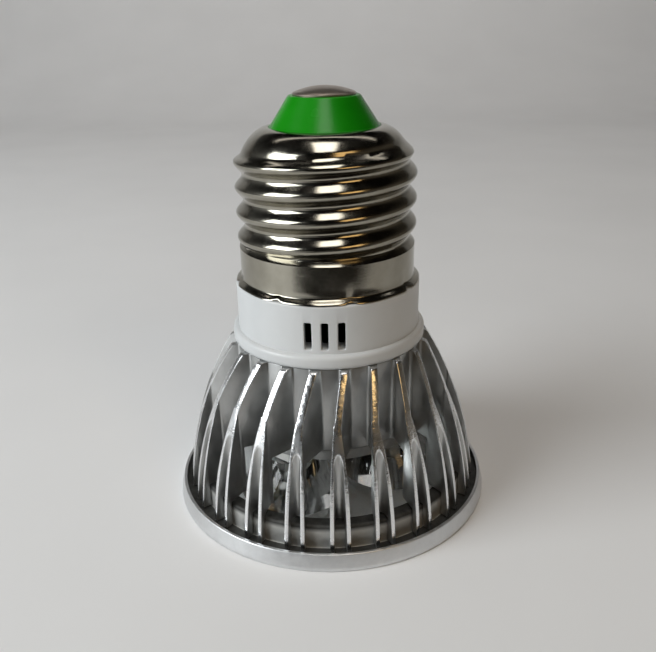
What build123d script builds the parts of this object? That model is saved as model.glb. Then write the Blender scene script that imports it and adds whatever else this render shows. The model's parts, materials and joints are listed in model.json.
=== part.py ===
from build123d import *
import os
from math import asin, atan2, cos, degrees, radians, sin, sqrt

# LED spotlight bulb with an E27 cap, standing on its front ring.
# Millimetres, +Z up, origin on the lamp's axis in the plane of the ring's front face.
# Azimuths are degrees from the front (-Y) towards the right (+X).

# Front ring
RING_RADIUS = 25.0
RING_HEIGHT = 2.6
RIM_WALL = 1.0
RIM_TAPER = 0.5
RIM_LAND = 0.6
RING_CHANNEL = 2.3
RING_FLOOR = 1.6
RING_LIP = 0.8
LIP_WIDTH = 1.3
RING_TOP_ROUND = 0.15
RING_FRONT_CHAMFER = 0.3
RING_NECK_WALL = 1.9
RING_NECK_HEIGHT = 3.7
RING_NECK_CHAMFER = 0.4

# Lens plate with its collimator cones
LENS_THICK = 2.0
CONE_COUNT = 3
CONE_AZIMUTH = -38.0
CONE_EDGE = 1.65
CONE_RADIUS = 8.25
CONE_HEIGHT = 6.4
CONE_END_RADIUS = 4.1
CONE_BULGE = 0.55
CONE_HOLE_RADIUS = 3.0
CONE_HOLE_DEPTH = 4.2
CONE_HOLE_CROWN = 0.7

# LEDs, their board and the pad behind it
LED_RADIUS = 3.8
LED_HEIGHT = 2.0
LED_FLAT = 3.3
DOME_RADIUS = 2.6
DOME_RIM = 0.7
DOME_CROWN = 1.8
BOARD_RADIUS = 14.1
BOARD_THICK = 1.6
BOARD_HOLE = 2.6
PAD_THICK = 0.25

# Heat sink: an extruded drum with forked fins, turned to a bell and bored from the front
FIN_COUNT = 22
FIN_AZIMUTH = 2.6
STEM_THICK = 0.95
STEM_SWEEP = 19.0
STEM_OFFSET = 0.15
STEM_ROOT_ROUND = 0.5
FORK_SETBACK = 4.5
HEAD_WIDTH = 2.66
HEAD_SETBACK = 1.35
END_WIDTH = 3.6
ARM_THICK = 0.66
SLOT_WIDTH = 1.24
SLOT_SETBACK = 3.0
FOOT_RIM_GAP = 0.8
BELL_TOP_RADIUS = 15.3
BELL_BULGE = 1.6
FIN_TOP_ROUND = 0.8
DRUM_RADIUS = 14.4
DRUM_WALL = 2.0
DRUM_FLOOR = 3.0
DRUM_DEPTH = 9.95

# White collar: lip, body, spigot in the drum, neck inside the shell, screw posts
COLLAR_LIP_RADIUS = 14.77
COLLAR_LIP_HEIGHT = 2.1
COLLAR_LIP_ROUND = 0.7
COLLAR_RADIUS = 13.85
COLLAR_HEIGHT = 9.2
COLLAR_TOP_ROUND = 0.35
COLLAR_BORE = 11.0
SPIGOT_DEPTH = 2.0
NECK_WALL = 1.1
NECK_LENGTH = 10.0
POST_RADIUS = 2.1
POST_CIRCLE = 9.6
POST_AZIMUTH = 45.0
POST_TOP = 3.0
VENT_COUNT = 3
VENT_WIDTH = 1.06
VENT_HEIGHT = 4.05
VENT_PITCH = 2.35
VENT_FOOT = 2.7
VENT_AZIMUTH = -2.5
VENT_ROUND = 0.25
GROOVE_DEPTH = 0.7

# E27 screw shell, rolled from sheet
THREAD_PITCH = 3.62
CREST_RADIUS = 13.2
ROOT_RADIUS = 12.1
THREAD_LENGTH = 13.6
THREAD_AZIMUTH = 133.8
SHELL_WALL = 0.3
SKIRT_RADIUS = 13.0
SKIRT_HEIGHT = 5.3
RIM_FLARE = 0.9
RIM_FLARE_HEIGHT = 0.8
STAKE_COUNT = 8
STAKE_AZIMUTH = 13.0
STAKE_RADIUS = 0.7
STAKE_DEPTH = 0.3
SHOULDER_HEIGHT = 3.25
SHOULDER_BULGE = 0.5
SHELL_MOUTH = 8.0

# Insulator and centre contact
INSULATOR_FOOT_RADIUS = 7.8
INSULATOR_END_RADIUS = 5.05
INSULATOR_HEIGHT = 4.2
INSULATOR_FLANGE = 1.1
INSULATOR_FLANGE_THICK = 1.6
CONTACT_RADIUS = 4.45
CONTACT_CROWN = 0.9
CONTACT_RIM = 0.3
CONTACT_STEM = 1.2

# Driver card and its components
CARD_WIDTH = 18.0
CARD_THICK = 1.2
CARD_TOP_GAP = 1.0
CARD_FOOT_GAP = 1.2
CORE_WIDTH = 9.0
CORE_DEPTH = 4.0
CORE_HEIGHT = 9.0
CORE_LEG = 1.8
CORE_MIDDLE = 2.6
CORE_FOOT = 1.0
COIL_BULGE = 1.1
INPUT_CAN_RADIUS = 3.15
INPUT_CAN_HEIGHT = 10.0
INPUT_CAN_X = 4.2
OUTPUT_CAN_RADIUS = 2.9
OUTPUT_CAN_HEIGHT = 8.5
OUTPUT_CAN_X = 5.2
CAN_NECK = 1.4
CAN_GROOVE = 0.1
CAN_ROUND = 0.4
COMPONENT_X = 4.4
COMPONENT_LIFT = 3.0
BRIDGE_WIDTH = 4.6
BRIDGE_DEPTH = 2.2
BRIDGE_HEIGHT = 6.4
BRIDGE_CORNER = 0.8
CHIP_WIDTH = 3.9
CHIP_DEPTH = 1.4
CHIP_HEIGHT = 4.9
FUSE_RADIUS = 1.3
FUSE_LENGTH = 6.5

# Leads
LEAD_RADIUS = 0.55
LEAD_CORNER = 1.0
LEAD_LAP = 3.0
NEUTRAL_RISE = 2.0
LED_LEAD_X = 1.1
LED_LEAD_REACH = 4.4

# Screws
SCREW_RADIUS = 1.0
SCREW_HEAD_RADIUS = 1.9
SCREW_HEAD_HEIGHT = 1.0
BOARD_SCREW_COUNT = 2
BOARD_SCREW_LENGTH = 4.0
BOARD_SCREW_CIRCLE = 11.6
COLLAR_SCREW_LENGTH = 9.0

# Clearances
SEAT_GAP = 0.05
LENS_FIT = 0.2
LENS_SPACE_FIT = 0.4
THREAD_FIT = 0.08
FOOT_GAP = 0.2
NECK_END_GAP = 0.3
CONE_GAP = 0.15
SPIGOT_FIT = 0.1
NECK_FIT = 0.1
CARD_FIT = 0.1
SCREW_FIT = 0.1
PART_GAP = 0.05

# Heights that follow from the stack, from the front upwards
lens_z = RING_LIP + SEAT_GAP
lens_top = lens_z + LENS_THICK
cone_end = lens_top + CONE_HEIGHT
led_front = cone_end + CONE_GAP
board_front = led_front + LED_HEIGHT
board_back = board_front + BOARD_THICK
floor_z = board_back + PAD_THICK
floor_top = floor_z + DRUM_FLOOR
sink_top = floor_top + DRUM_DEPTH
sink_foot = RING_FLOOR + FOOT_GAP
ring_neck_top = RING_FLOOR + RING_NECK_HEIGHT
collar_top = sink_top + COLLAR_HEIGHT
skirt_top = collar_top + SKIRT_HEIGHT
thread_top = skirt_top + THREAD_LENGTH
shell_top = thread_top + SHOULDER_HEIGHT
insulator_top = shell_top + INSULATOR_HEIGHT

# Radii that follow from the fits
rim_inside = RING_RADIUS - RIM_WALL
ring_neck_radius = rim_inside - RING_CHANNEL
ring_bore = ring_neck_radius - RING_NECK_WALL
lens_radius = ring_bore - LENS_FIT
cone_circle = lens_radius - CONE_EDGE - CONE_RADIUS
lens_space = cone_circle + CONE_RADIUS + LENS_SPACE_FIT
foot_bore = ring_neck_radius + THREAD_FIT
foot_radius = rim_inside - FOOT_RIM_GAP
head_radius = foot_radius - HEAD_SETBACK
slot_radius = foot_radius - SLOT_SETBACK
fork_radius = foot_radius - FORK_SETBACK
drum_bore = DRUM_RADIUS - DRUM_WALL
spigot_radius = drum_bore - SPIGOT_FIT
skirt_bore = SKIRT_RADIUS - SHELL_WALL
neck_radius = ROOT_RADIUS - SHELL_WALL - NECK_END_GAP
neck_bore = neck_radius - NECK_WALL
neck_top = collar_top + NECK_LENGTH
contact_foot = shell_top - SHOULDER_HEIGHT

# Places on the driver card
card_side = CARD_THICK / 2 + PART_GAP
card_foot = floor_top + CARD_FOOT_GAP
card_top = neck_top + CARD_TOP_GAP
core_window = (CORE_WIDTH - 2 * CORE_LEG - CORE_MIDDLE) / 2
core_y = card_side + COIL_BULGE + CORE_DEPTH / 2
core_z = sink_top + CORE_FOOT
upper_row = collar_top + COMPONENT_LIFT
lead_y = card_side + LEAD_RADIUS


def around(radius, azimuth, z=0.0):
    """Point at a radius and an azimuth counted from the front."""
    return (radius * sin(radians(azimuth)), -radius * cos(radians(azimuth)), z)


def facing(azimuth):
    """Frame on the axis whose +X points outwards at an azimuth."""
    return Rot(0, 0, azimuth - 90)


def turned(*outline):
    """Solid of revolution about the axis from lines that close in the r-z half plane."""
    return revolve(Plane.XZ * make_face(outline), Axis.Z)


def lathe(*points):
    """Solid of revolution about the axis from the corners of its half section."""
    return turned(*Polyline(*points, close=True).edges())


def drum_of(radius, bottom, top, bore=0.0):
    """Upright cylinder between two heights, with a bore where one is given."""
    return lathe((bore, bottom), (radius, bottom), (radius, top), (bore, top))


def block(size, x, y, z):
    """Upright block with its foot centred at x, y, z."""
    return Pos(x, y, z) * Box(*size, align=(Align.CENTER, Align.CENTER, Align.MIN))


def lead(*points):
    """Insulated lead along straight runs joined by arcs."""
    path = FilletPolyline(*points, radius=LEAD_CORNER)
    return sweep(Plane(origin=path @ 0, z_dir=path % 0) * Circle(LEAD_RADIUS), path=path)


def crown(radius, z, height):
    """Spherical cap's half section, from its rim at z to its apex on the axis."""
    ball = (radius * radius + height * height) / (2 * abs(height))
    up = 1 if height > 0 else -1
    half = asin(radius / ball) / 2
    middle = (ball * sin(half), z + height - up * ball * (1 - cos(half)))
    return ThreePointArc((radius, z), middle, (0, z + height))


def edges_of(*lines):
    """All edges of some lines, for a closed outline."""
    return [edge for line in lines for edge in line.edges()]


def circles(solid):
    """Circular edges of a solid."""
    return solid.edges().filter_by(GeomType.CIRCLE)


def bezel_ring():
    aperture = lens_radius - LIP_WIDTH
    body = lathe(
        (aperture, 0),
        (RING_RADIUS, 0),
        (RING_RADIUS, RIM_LAND),
        (RING_RADIUS - RIM_TAPER, RING_HEIGHT),
        (rim_inside, RING_HEIGHT),
        (rim_inside, RING_FLOOR),
        (ring_neck_radius, RING_FLOOR),
        (ring_neck_radius, ring_neck_top),
        (ring_bore, ring_neck_top),
        (ring_bore, RING_LIP),
        (aperture, RING_LIP),
    )
    rim = [e for e in circles(body) if e.radius > rim_inside - RIM_WALL / 2 and e.center().Z > sink_foot]
    body = fillet(rim, min(RING_TOP_ROUND, (RIM_WALL - RIM_TAPER) / 2 - SEAT_GAP))
    front = [e for e in circles(body) if abs(e.center().Z) < SEAT_GAP]
    body = chamfer(front, RING_FRONT_CHAMFER)
    neck_end = [e for e in circles(body) if e.center().Z > ring_neck_top - SEAT_GAP]
    outer = max(neck_end, key=lambda edge: edge.radius)
    return chamfer(outer, RING_NECK_CHAMFER)


def lens_cone():
    """Collimator cone with its recess for the LED dome, on its own axis."""
    hole_top = cone_end - CONE_HOLE_DEPTH
    flank = SagittaArc((CONE_RADIUS, lens_top), (CONE_END_RADIUS, cone_end), -CONE_BULGE)
    lens = crown(CONE_HOLE_RADIUS, hole_top, CONE_HOLE_CROWN)
    base = Line((0, lens_z), (CONE_RADIUS, lens_z))
    side = Line((CONE_RADIUS, lens_z), (CONE_RADIUS, lens_top))
    end = Line((CONE_END_RADIUS, cone_end), (CONE_HOLE_RADIUS, cone_end))
    wall = Line((CONE_HOLE_RADIUS, cone_end), (CONE_HOLE_RADIUS, hole_top))
    axis = Line((0, hole_top + CONE_HOLE_CROWN), (0, lens_z))
    return turned(*edges_of(base, side, flank, end, wall, lens, axis))


def cone_places():
    return [CONE_AZIMUTH + 360 / CONE_COUNT * i for i in range(CONE_COUNT)]


def lens_plate():
    plate = drum_of(lens_radius, lens_z, lens_top)
    cone = lens_cone()
    for azimuth in cone_places():
        plate += Pos(*around(cone_circle, azimuth)) * cone
    return plate


def led_bodies():
    body = drum_of(LED_RADIUS, led_front, board_front)
    body &= block((2 * LED_FLAT, 2 * LED_RADIUS, LED_HEIGHT), 0, 0, led_front)
    return [facing(a) * Pos(cone_circle, 0, 0) * body for a in cone_places()]


def led_domes():
    rim = led_front - DOME_RIM
    lines = Polyline((0, rim - DOME_CROWN), (0, led_front), (DOME_RADIUS, led_front), (DOME_RADIUS, rim))
    dome = turned(*edges_of(lines, crown(DOME_RADIUS, rim, -DOME_CROWN)))
    return [Pos(*around(cone_circle, a)) * dome for a in cone_places()]


def board_screw_places():
    return [azimuth + 180 / CONE_COUNT for azimuth in cone_places()][:BOARD_SCREW_COUNT]


def post_places():
    return [POST_AZIMUTH, POST_AZIMUTH + 180]


def screw_hole(bottom, top):
    return drum_of(SCREW_RADIUS + SCREW_FIT, bottom, top)


def drilled_disc(bottom, top):
    """Disc of the board's outline with its lead hole and screw holes."""
    disc = drum_of(BOARD_RADIUS, bottom, top, BOARD_HOLE)
    for azimuth in board_screw_places():
        disc -= Pos(*around(BOARD_SCREW_CIRCLE, azimuth)) * screw_hole(bottom, top)
    return disc


def led_board():
    return drilled_disc(board_front, board_back)


def thermal_pad():
    return drilled_disc(board_back, floor_z)


def board_screws():
    """Round-headed screws through the board into the drum floor."""
    end = board_front + BOARD_SCREW_LENGTH
    lines = Polyline(
        (0, board_front - SCREW_HEAD_HEIGHT),
        (0, end),
        (SCREW_RADIUS, end),
        (SCREW_RADIUS, board_front),
        (SCREW_HEAD_RADIUS, board_front),
    )
    screw = turned(*edges_of(lines, crown(SCREW_HEAD_RADIUS, board_front, -SCREW_HEAD_HEIGHT)))
    return [Pos(*around(BOARD_SCREW_CIRCLE, a)) * screw for a in board_screw_places()]


def collar_screws():
    """Countersunk screws, flush with the drum floor's front, up into the collar's posts."""
    screw = lathe(
        (0, floor_z),
        (SCREW_HEAD_RADIUS, floor_z),
        (SCREW_RADIUS, floor_z + SCREW_HEAD_HEIGHT),
        (SCREW_RADIUS, floor_z + COLLAR_SCREW_LENGTH),
        (0, floor_z + COLLAR_SCREW_LENGTH),
    )
    return [Pos(*around(POST_CIRCLE, a)) * screw for a in post_places()]


def bar(start, end, thick):
    """Flat bar in plan between two points, with round ends."""
    start, end = Vector(start), Vector(end)
    along = end - start
    angle = degrees(atan2(along.Y, along.X))
    return Pos(*((start + end) / 2)) * SlotCenterToCenter(along.length, thick, angle)


def wedge(*stations):
    """Face in plan, symmetrical about a radius, from its width at some distances from the axis."""
    left = [(distance, -width / 2) for distance, width in stations]
    right = [(distance, width / 2) for distance, width in reversed(stations)]
    return make_face(Polyline(*left, *right, close=True))


def fin_profile():
    """One fin in plan: a swept stem from the drum and a widening head, forked by a round-ended slot."""
    reach = fork_radius - drum_bore
    fork = Vector(fork_radius, STEM_OFFSET)
    root = fork + Vector(-cos(radians(STEM_SWEEP)), sin(radians(STEM_SWEEP))) * reach
    head = wedge((fork_radius, STEM_THICK), (head_radius, HEAD_WIDTH), (RING_RADIUS, END_WIDTH))
    slot_end = slot_radius + SLOT_WIDTH / 2
    slot = wedge((slot_end, SLOT_WIDTH), (RING_RADIUS, END_WIDTH - 2 * ARM_THICK))
    slot += Pos(slot_end, 0) * Circle(SLOT_WIDTH / 2)
    return bar(root, fork, STEM_THICK) + head - slot


def bell():
    """Turned outside of the fins, closed on the axis."""
    arc = SagittaArc((foot_radius, sink_foot), (BELL_TOP_RADIUS, sink_top), -BELL_BULGE)
    lines = Polyline((BELL_TOP_RADIUS, sink_top), (0, sink_top), (0, sink_foot), (foot_radius, sink_foot))
    solid = turned(*arc.edges(), *lines.edges())
    corner = [e for e in circles(solid) if e.center().Z > sink_top - SEAT_GAP]
    return fillet(corner, FIN_TOP_ROUND)


def heat_sink():
    profile = Circle(DRUM_RADIUS)
    fin = fin_profile()
    for i in range(FIN_COUNT):
        profile += facing(FIN_AZIMUTH + 360 / FIN_COUNT * i) * fin
    roots = [v for v in profile.vertices() if abs(Vector(v).length - DRUM_RADIUS) < SEAT_GAP]
    profile = fillet(roots, STEM_ROOT_ROUND)
    sink = extrude(Pos(0, 0, sink_foot) * profile, sink_top - sink_foot)
    sink &= bell()
    sink -= drum_of(foot_bore, sink_foot, ring_neck_top + NECK_END_GAP)
    sink -= drum_of(lens_space, sink_foot, floor_z)
    sink -= drum_of(drum_bore, floor_top, sink_top)
    sink -= drum_of(BOARD_HOLE, floor_z, floor_top)
    for azimuth in board_screw_places():
        hole = screw_hole(floor_z, board_front + BOARD_SCREW_LENGTH + SCREW_FIT)
        sink -= Pos(*around(BOARD_SCREW_CIRCLE, azimuth)) * hole
    for azimuth in post_places():
        countersink = lathe(
            (0, floor_z),
            (SCREW_HEAD_RADIUS + SCREW_FIT, floor_z),
            (SCREW_RADIUS + SCREW_FIT, floor_z + SCREW_HEAD_HEIGHT),
            (SCREW_RADIUS + SCREW_FIT, floor_top),
            (0, floor_top),
        )
        sink -= Pos(*around(POST_CIRCLE, azimuth)) * countersink
    return sink


def vent_cut():
    """Row of upright slots through the wall on one side of the collar."""
    slot = RectangleRounded(VENT_WIDTH, VENT_HEIGHT, VENT_ROUND)
    cutter = extrude(Plane.XZ * slot, COLLAR_LIP_RADIUS)
    middle = sink_top + VENT_FOOT + VENT_HEIGHT / 2
    first = -VENT_PITCH * (VENT_COUNT - 1) / 2
    return [Pos(first + VENT_PITCH * i, 0, middle) * cutter for i in range(VENT_COUNT)]


def collar():
    spigot_foot = sink_top - SPIGOT_DEPTH
    lip_top = sink_top + COLLAR_LIP_HEIGHT
    body = lathe(
        (COLLAR_BORE, spigot_foot),
        (spigot_radius, spigot_foot),
        (spigot_radius, sink_top),
        (COLLAR_LIP_RADIUS, sink_top),
        (COLLAR_LIP_RADIUS, lip_top),
        (COLLAR_RADIUS, lip_top),
        (COLLAR_RADIUS, collar_top),
        (COLLAR_BORE, collar_top),
    )
    lip = [e for e in circles(body) if e.radius > (COLLAR_RADIUS + COLLAR_LIP_RADIUS) / 2]
    body = fillet(lip, COLLAR_LIP_ROUND)
    top = [e for e in circles(body) if e.center().Z > collar_top - SEAT_GAP and e.radius > neck_radius]
    body = fillet(top, COLLAR_TOP_ROUND)
    body += lathe(
        (neck_bore, collar_top - NECK_WALL),
        (COLLAR_BORE + NECK_WALL, collar_top - NECK_WALL),
        (skirt_bore - NECK_FIT, collar_top - COLLAR_TOP_ROUND),
        (skirt_bore - NECK_FIT, skirt_top - 2 * NECK_WALL),
        (neck_radius, skirt_top - NECK_WALL),
        (neck_radius, neck_top),
        (neck_bore, neck_top),
    )
    post_foot = floor_top + SEAT_GAP
    post_top = sink_top + POST_TOP
    post = drum_of(POST_RADIUS, post_foot, post_top)
    drum_space = drum_of(spigot_radius, post_foot, post_top)
    pilot = screw_hole(post_foot, floor_z + COLLAR_SCREW_LENGTH + SCREW_FIT)
    for azimuth in post_places():
        body += (Pos(*around(POST_CIRCLE, azimuth)) * post) & drum_space
    for azimuth in post_places():
        body -= Pos(*around(POST_CIRCLE, azimuth)) * pilot
    for turn in (VENT_AZIMUTH, VENT_AZIMUTH + 180):
        for slot in vent_cut():
            body -= Rot(0, 0, turn) * slot
    groove_width = 2 * (COLLAR_BORE + GROOVE_DEPTH)
    groove_top = collar_top - NECK_WALL
    groove = (groove_width, CARD_THICK + 2 * CARD_FIT, groove_top - spigot_foot)
    return body - block(groove, 0, 0, spigot_foot)


def shoulder(offset, reach):
    """Domed end of the shell, closed on the axis, moved inwards by an offset; reach is its radius below."""
    end = shell_top - offset
    arc = SagittaArc((ROOT_RADIUS - offset, thread_top), (SHELL_MOUTH, end), -SHOULDER_BULGE)
    lines = Polyline(
        (SHELL_MOUTH, end),
        (0, end),
        (0, skirt_top),
        (reach, skirt_top),
        (reach, thread_top - THREAD_PITCH / 2),
        (ROOT_RADIUS - offset, thread_top),
    )
    return turned(*edges_of(arc, lines))


def rolled_thread():
    """Round-profile thread: a circle set off the axis, twisted one turn for each pitch."""
    set_off = (CREST_RADIUS - ROOT_RADIUS) / 2
    centre = around(set_off, THREAD_AZIMUTH, skirt_top)
    section = Face(Wire.make_circle(ROOT_RADIUS + set_off, Plane(centre)))
    rise = THREAD_LENGTH + SHOULDER_HEIGHT
    twist = 360 * rise / THREAD_PITCH
    return Solid.extrude_linear_with_rotation(section, (0, 0, skirt_top), (0, 0, rise), twist)


def screw_shell():
    rim_radius = SKIRT_RADIUS + RIM_FLARE
    thread_bore = ROOT_RADIUS - SHELL_WALL
    skirt = lathe(
        (skirt_bore, collar_top),
        (rim_radius, collar_top),
        (rim_radius, collar_top + SHELL_WALL),
        (SKIRT_RADIUS, collar_top + RIM_FLARE_HEIGHT),
        (SKIRT_RADIUS, skirt_top),
        (thread_bore, skirt_top),
        (thread_bore, skirt_top - SHELL_WALL),
        (skirt_bore, skirt_top - SHELL_WALL),
    )
    for i in range(STAKE_COUNT):
        place = around(rim_radius + STAKE_RADIUS - STAKE_DEPTH, STAKE_AZIMUTH + 360 / STAKE_COUNT * i)
        skirt -= Pos(*place) * drum_of(STAKE_RADIUS, collar_top, collar_top + RIM_FLARE_HEIGHT)
    thread = rolled_thread() & shoulder(0, CREST_RADIUS + SHELL_WALL)
    thread -= shoulder(SHELL_WALL, thread_bore)
    thread -= drum_of(SHELL_MOUTH, thread_top, shell_top)
    return skirt + thread


def base_insulator():
    wall = SHELL_WALL + PART_GAP
    slope = SHOULDER_HEIGHT / (ROOT_RADIUS - SHELL_MOUTH)
    throat = SHELL_MOUTH - PART_GAP
    under = shell_top - wall * sqrt(1 + slope * slope)
    drop = INSULATOR_FLANGE * slope
    return lathe(
        (CONTACT_STEM + PART_GAP, under - drop - INSULATOR_FLANGE_THICK),
        (throat + INSULATOR_FLANGE, under - drop - INSULATOR_FLANGE_THICK),
        (throat + INSULATOR_FLANGE, under - drop),
        (throat, under),
        (throat, shell_top),
        (INSULATOR_FOOT_RADIUS, shell_top),
        (INSULATOR_END_RADIUS, insulator_top),
        (CONTACT_STEM + PART_GAP, insulator_top),
    )


def centre_contact():
    seat = insulator_top
    rim = seat + CONTACT_RIM
    lines = Polyline(
        (0, rim + CONTACT_CROWN),
        (0, contact_foot),
        (CONTACT_STEM, contact_foot),
        (CONTACT_STEM, seat),
        (CONTACT_RADIUS, seat),
        (CONTACT_RADIUS, rim),
    )
    return turned(*edges_of(lines, crown(CONTACT_RADIUS, rim, CONTACT_CROWN)))


def driver_board():
    """Upright card: a long tongue with wings that run in the collar's grooves."""
    wing_top = collar_top - NECK_WALL - CARD_FIT
    wing_width = 2 * (COLLAR_BORE + GROOVE_DEPTH - CARD_FIT)
    card = block((CARD_WIDTH, CARD_THICK, card_top - card_foot), 0, 0, card_foot)
    return card + block((wing_width, CARD_THICK, wing_top - sink_top), 0, 0, sink_top)


def transformer_core():
    """Pair of E cores, closed round the coil."""
    core = block((CORE_WIDTH, CORE_DEPTH, CORE_HEIGHT), 0, core_y, core_z)
    opening = (core_window, CORE_DEPTH, CORE_HEIGHT - 2 * CORE_LEG)
    for side in (-1, 1):
        core -= block(opening, side * (CORE_MIDDLE + core_window) / 2, core_y, core_z + CORE_LEG)
    return core


def transformer_coil():
    """Winding round the core's middle leg, bulging at the front and back of the core."""
    height = CORE_HEIGHT - 2 * CORE_LEG - 2 * PART_GAP
    width = CORE_MIDDLE + 2 * core_window - 2 * PART_GAP
    foot = core_z + CORE_LEG + PART_GAP
    coil = block((width, CORE_DEPTH + 2 * COIL_BULGE, height), 0, core_y, foot)
    coil = fillet(coil.edges().filter_by(Axis.Z), COIL_BULGE / 2)
    return coil - block((CORE_MIDDLE + 2 * PART_GAP, CORE_DEPTH + 2 * PART_GAP, height), 0, core_y, foot)


def can(radius, height, x, z):
    """Electrolytic capacitor, upright against the card's front face, with its crimped neck."""
    groove = radius * CAN_GROOVE
    body = lathe(
        (0, 0),
        (radius, 0),
        (radius, CAN_NECK),
        (radius - groove, CAN_NECK + groove),
        (radius, CAN_NECK + 2 * groove),
        (radius, height),
        (0, height),
    )
    top = circles(body).sort_by(Axis.Z)[-1]
    return Pos(x, -(card_side + radius), z) * fillet(top, CAN_ROUND)


def input_capacitor():
    return can(INPUT_CAN_RADIUS, INPUT_CAN_HEIGHT, -INPUT_CAN_X, card_top - INPUT_CAN_HEIGHT)


def output_capacitor():
    return can(OUTPUT_CAN_RADIUS, OUTPUT_CAN_HEIGHT, -OUTPUT_CAN_X, card_foot)


def bridge_rectifier():
    size = (BRIDGE_WIDTH, BRIDGE_DEPTH, BRIDGE_HEIGHT)
    body = block(size, COMPONENT_X, card_side + BRIDGE_DEPTH / 2, upper_row)
    corner = body.edges().filter_by(Axis.Y).sort_by(Axis.X)[-1]
    return chamfer(corner, BRIDGE_CORNER)


def controller_chip():
    size = (CHIP_WIDTH, CHIP_DEPTH, CHIP_HEIGHT)
    return block(size, COMPONENT_X, -(card_side + CHIP_DEPTH / 2), upper_row)


def fuse_resistor():
    body = drum_of(FUSE_RADIUS, upper_row, upper_row + FUSE_LENGTH)
    body = fillet(circles(body), FUSE_RADIUS / 3)
    return Pos(-COMPONENT_X, card_side + FUSE_RADIUS, 0) * body


def live_lead():
    start = contact_foot - PART_GAP
    bend = (start - card_top) / 3
    return lead(
        (0, 0, start),
        (0, 0, start - bend),
        (0, -lead_y, card_top + bend),
        (0, -lead_y, card_top - LEAD_LAP),
    )


def neutral_lead():
    reach = ROOT_RADIUS - SHELL_WALL - PART_GAP
    return lead(
        (0, lead_y, card_top - LEAD_LAP),
        (0, lead_y, card_top + NEUTRAL_RISE),
        (0, reach, card_top + NEUTRAL_RISE),
    )


def led_lead(side):
    """Lead down the card's front face, through the floor and out along the board's front."""
    run = board_front - LEAD_RADIUS - PART_GAP
    return lead(
        (side * LED_LEAD_X, -lead_y, card_foot + LEAD_LAP),
        (side * LED_LEAD_X, -lead_y, run),
        (side * LED_LEAD_REACH, -lead_y, run),
    )


def led_lead_positive():
    return led_lead(1)


def led_lead_negative():
    return led_lead(-1)


PIECES = (
    bezel_ring,
    lens_plate,
    led_bodies,
    led_domes,
    led_board,
    thermal_pad,
    board_screws,
    collar_screws,
    heat_sink,
    collar,
    screw_shell,
    base_insulator,
    centre_contact,
    driver_board,
    transformer_core,
    transformer_coil,
    input_capacitor,
    output_capacitor,
    bridge_rectifier,
    controller_chip,
    fuse_resistor,
    live_lead,
    neutral_lead,
    led_lead_positive,
    led_lead_negative,
)

os.makedirs("parts", exist_ok=True)
for make in PIECES:
    shape = make()
    if isinstance(shape, list):
        shape = Compound(children=shape)
    export_step(shape, f"parts/{make.__name__}.step")
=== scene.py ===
import json
from collections import Counter
from math import atan2, cos, degrees, exp, hypot, pi, radians, sin, sqrt
import bpy
from mathutils import Matrix, Vector

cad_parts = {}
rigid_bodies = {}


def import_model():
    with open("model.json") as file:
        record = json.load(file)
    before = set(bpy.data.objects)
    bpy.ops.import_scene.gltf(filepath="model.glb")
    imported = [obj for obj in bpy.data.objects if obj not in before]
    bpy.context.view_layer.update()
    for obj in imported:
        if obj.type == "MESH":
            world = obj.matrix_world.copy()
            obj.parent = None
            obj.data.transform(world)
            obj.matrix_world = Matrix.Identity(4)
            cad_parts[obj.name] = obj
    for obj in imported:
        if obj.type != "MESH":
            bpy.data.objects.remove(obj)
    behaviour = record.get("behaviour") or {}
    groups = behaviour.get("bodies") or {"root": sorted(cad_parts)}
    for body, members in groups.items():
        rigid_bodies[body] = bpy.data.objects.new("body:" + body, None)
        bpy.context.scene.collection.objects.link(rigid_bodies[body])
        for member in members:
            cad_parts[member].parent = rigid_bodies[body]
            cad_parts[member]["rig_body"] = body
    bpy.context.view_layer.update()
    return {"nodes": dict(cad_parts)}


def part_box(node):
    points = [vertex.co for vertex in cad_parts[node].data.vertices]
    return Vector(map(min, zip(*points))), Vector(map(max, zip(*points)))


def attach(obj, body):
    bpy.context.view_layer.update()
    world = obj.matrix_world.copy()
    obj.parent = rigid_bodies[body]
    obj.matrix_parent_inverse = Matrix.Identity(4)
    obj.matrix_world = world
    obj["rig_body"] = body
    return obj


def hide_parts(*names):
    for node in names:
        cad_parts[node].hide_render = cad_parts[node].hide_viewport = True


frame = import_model()
nodes = frame["nodes"]
scene = bpy.context.scene
MM = 0.001

# The photograph's camera, fitted to the cap's thread and the front ring
EYE = Vector((0.0, -108.04, 71.47)) * MM
LOOK = Vector((-0.0011, 0.9244, -0.3813))
ROLL = -0.021
LENS_MM = 40.93
SENSOR_MM = 36.0
CLIP_START = 0.005

# Turning, merging and shading; lengths are in millimetres and angles in degrees from here on
SEGMENTS = 160
MERGE = 0.002
FLAT_ANGLE = 1.0
SMOOTH_ANGLE = 32.0
SHARP_ANGLE = 35.0

# Front ring
RING_SEGMENTS = 220
RIM_WALL = 1.0
RIM_HEIGHT = 2.6
RIM_TAPER = 0.5
RIM_LAND = 0.6
RIM_ROUND = 0.13
CHANNEL_FLOOR = 1.6
NECK_RADIUS = 21.7
NECK_BORE = 19.8
NECK_ROUND = 0.5
APERTURE = 18.3
LENS_SEAT = 0.8
FRONT_CHAMFER = 0.3

# Lens plate with its three collimator cones
LENS_THICK = 2.0
LENS_EDGE_ROUND = 0.15
LENS_SMOOTH_ANGLE = 30.0
CONE_COUNT = 3
CONE_AZIMUTH = -38.0
CONE_CIRCLE = 9.7
CONE_RADIUS = 8.25
CONE_END_RADIUS = 4.1
CONE_BULGE = 0.55
CONE_HOLE_RADIUS = 3.0
CONE_HOLE_DEPTH = 4.2
CONE_HOLE_CROWN = 0.7
FLANK_STEPS = 14
CROWN_STEPS = 8

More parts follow.
